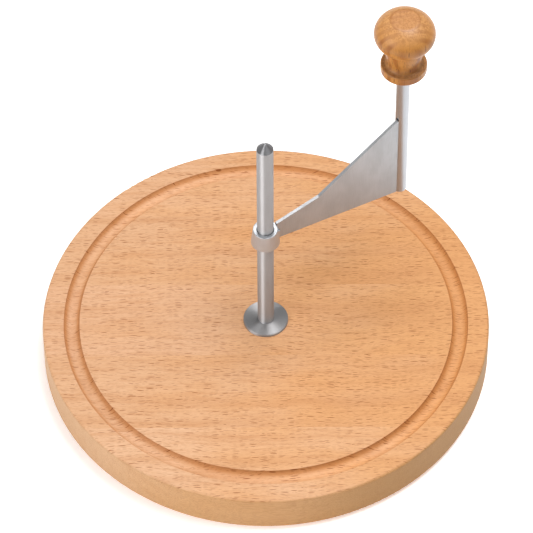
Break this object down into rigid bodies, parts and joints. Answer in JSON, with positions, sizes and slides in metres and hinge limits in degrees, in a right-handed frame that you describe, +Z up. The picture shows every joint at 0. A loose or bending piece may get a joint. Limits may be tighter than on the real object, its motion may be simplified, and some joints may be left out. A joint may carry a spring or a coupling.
{
  "type": "rotary cheese scraper",
  "caption": "Hand-cranked cheese scraper: a round beech board with a steel spindle and an upright blade that is cranked round by a knob to curl a half wheel of cheese.",
  "frame": {"origin": "centre of the footprint, in the plane the rubber feet stand on; the spindle's axis passes through it", "axes": "+Z up along the spindle; +X along the board's grain; the crank at rest points 27.1 degrees from +X towards +Y"},
  "size_m": [0.22, 0.22, 0.2051],
  "materials": {
    "board_wood": "sanded, lightly oiled steamed beech",
    "knob_wood": "satin lacquered beech",
    "satin_steel": "satin brushed stainless steel",
    "blade_steel": "fine ground stainless steel",
    "fastener_steel": "plain stainless fastener",
    "foot_rubber": "matte moulded rubber",
    "liner_plastic": "dark grey bearing plastic",
    "bush_brass": "turned brass"
  },
  "bodies": {
    "board": {"board_stave_front": "board_wood", "board_stave_middle_front": "board_wood", "board_stave_centre": "board_wood", "board_stave_middle_back": "board_wood", "board_stave_back": "board_wood", "rubber_feet": "foot_rubber", "foot_screws": "fastener_steel", "spindle": "satin_steel", "spindle_seat": "satin_steel", "plain_washer": "fastener_steel", "spring_washer": "fastener_steel", "spindle_nut": "fastener_steel"},
    "slider": {"hub_liner": "liner_plastic"},
    "crank": {"scraper_hub": "satin_steel", "scraper_blade": "blade_steel", "hub_weld_beads": "satin_steel", "crank_rod": "satin_steel", "knob_keeper": "fastener_steel", "knob_screw": "fastener_steel"},
    "knob": {"knob": "knob_wood", "knob_bush": "bush_brass", "knob_plug": "knob_wood"}
  },
  "joints": [
    {"name": "scraper_slide", "type": "slide", "parent": "board", "child": "slider", "axis": [0, 0, 1], "range_m": [-0.0594, 0.08]},
    {"name": "crank_spin", "type": "hinge", "parent": "slider", "child": "crank", "pos_m": [0, 0, 0.0843], "axis": [0, 0, 1], "continuous": true},
    {"name": "knob_spin", "type": "hinge", "parent": "crank", "child": "knob", "pos_m": [0.06534, 0.03344, 0.171], "axis": [0, 0, 1], "continuous": true}
  ]
}
